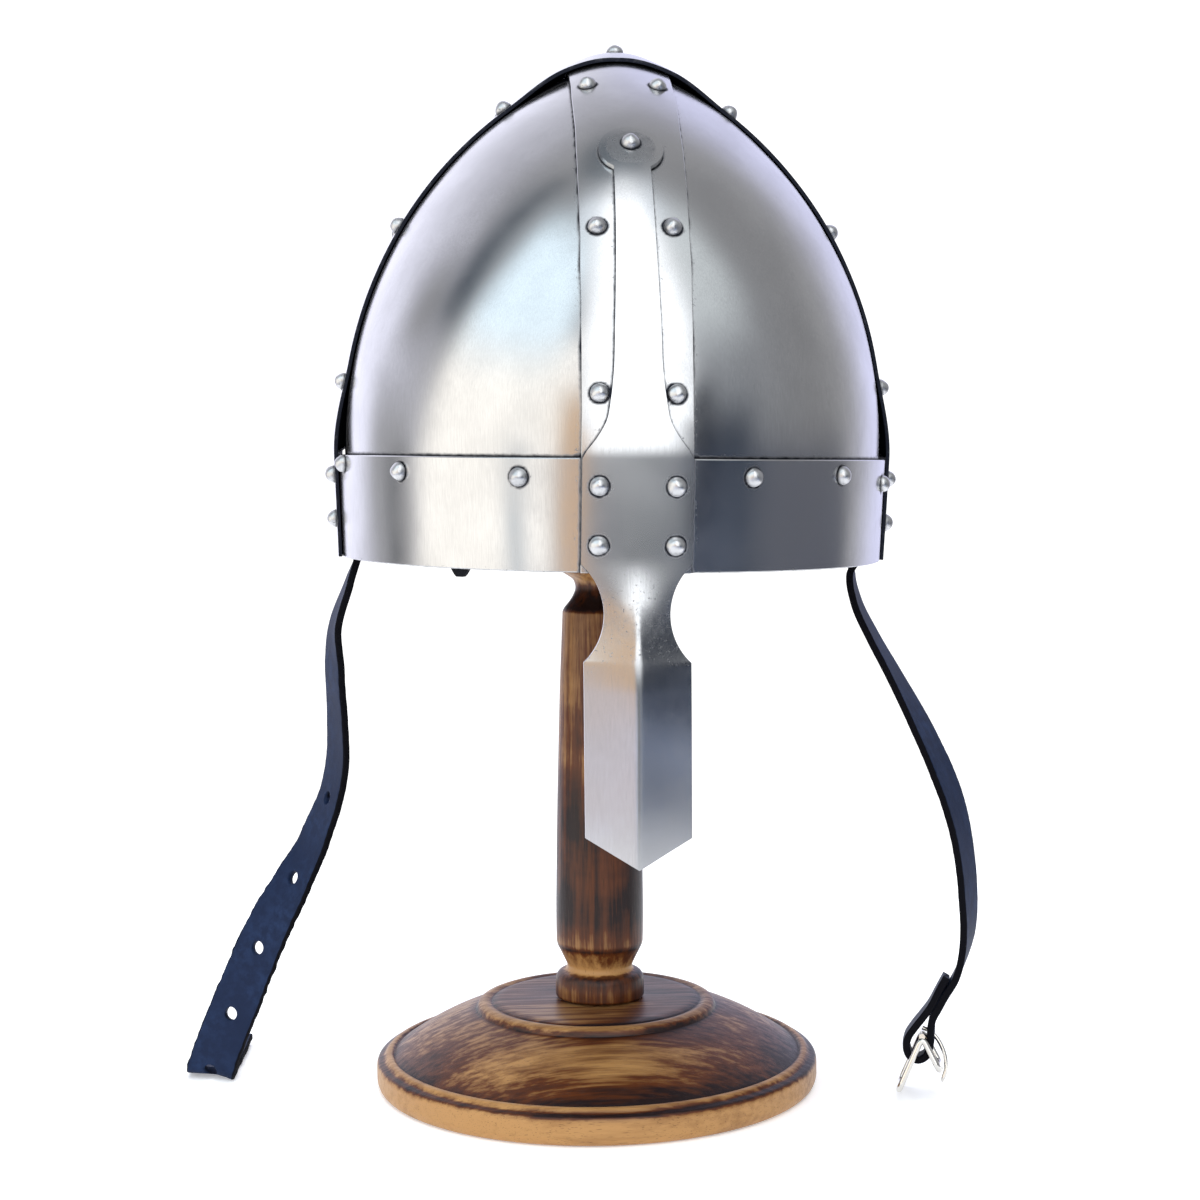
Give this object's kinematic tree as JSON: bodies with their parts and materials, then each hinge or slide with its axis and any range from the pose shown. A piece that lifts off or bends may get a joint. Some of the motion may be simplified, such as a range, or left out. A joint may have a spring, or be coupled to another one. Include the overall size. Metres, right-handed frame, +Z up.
{
  "type": "norse iron helmet on a turned wooden stand",
  "caption": "Riveted spangen helmet with a brow band, crossed dome bands, a nasal guard and hanging leather chin straps, on a turned wooden display stand.",
  "frame": {"origin": "centre of the stand base's flat underside", "axes": "+Z up; the helmet's front and its nasal guard face -Y; +X to the right seen from the front"},
  "size_m": [0.3152, 0.2503, 0.4077],
  "materials": {
    "steel_plate": "satin brushed",
    "steel_band": "satin brushed",
    "steel_nasal": "satin brushed",
    "steel_rivet": "hammered",
    "strap_leather": "mottled, cut edges",
    "lining_leather": "matt",
    "buckle_metal": "polished",
    "stand_wood": "turned, varnished"
  },
  "bodies": {
    "root": {"dome_plate_front_left": "steel_plate", "dome_plate_front_right": "steel_plate", "dome_plate_rear_left": "steel_plate", "dome_plate_rear_right": "steel_plate", "brow_band": "steel_band", "fore_aft_band": "steel_band", "cross_band": "steel_band", "nasal": "steel_nasal", "strap_left": "strap_leather", "strap_right": "strap_leather", "lining_tab": "lining_leather", "buckle_frame": "buckle_metal", "buckle_prong": "buckle_metal", "stand_base": "stand_wood", "stand_post": "stand_wood", "stand_head": "stand_wood", "rivet_brow_left_1": "steel_rivet", "rivet_brow_left_2": "steel_rivet", "rivet_brow_left_3": "steel_rivet", "rivet_brow_right_4": "steel_rivet", "rivet_brow_right_5": "steel_rivet", "rivet_brow_right_6": "steel_rivet", "rivet_front_1": "steel_rivet", "rivet_front_2": "steel_rivet", "rivet_front_3": "steel_rivet", "rivet_front_4": "steel_rivet", "rivet_front_5": "steel_rivet", "rivet_front_6": "steel_rivet", "rivet_cross_left_1": "steel_rivet", "rivet_cross_left_2": "steel_rivet", "rivet_cross_left_3": "steel_rivet", "rivet_cross_left_4": "steel_rivet", "rivet_cross_left_5": "steel_rivet", "rivet_cross_left_6": "steel_rivet", "rivet_cross_left_7": "steel_rivet", "rivet_cross_left_8": "steel_rivet", "rivet_cross_left_9": "steel_rivet", "rivet_cross_left_10": "steel_rivet", "rivet_cross_right_1": "steel_rivet", "rivet_cross_right_2": "steel_rivet", "rivet_cross_right_3": "steel_rivet", "rivet_cross_right_4": "steel_rivet", "rivet_cross_right_5": "steel_rivet", "rivet_cross_right_6": "steel_rivet", "rivet_cross_right_7": "steel_rivet", "rivet_cross_right_8": "steel_rivet", "rivet_cross_right_9": "steel_rivet", "rivet_cross_right_10": "steel_rivet", "rivet_apex": "steel_rivet", "rivet_nasal_1": "steel_rivet", "rivet_nasal_2": "steel_rivet", "rivet_nasal_3": "steel_rivet", "rivet_nasal_4": "steel_rivet", "rivet_nasal_5": "steel_rivet"}
  },
  "joints": []
}
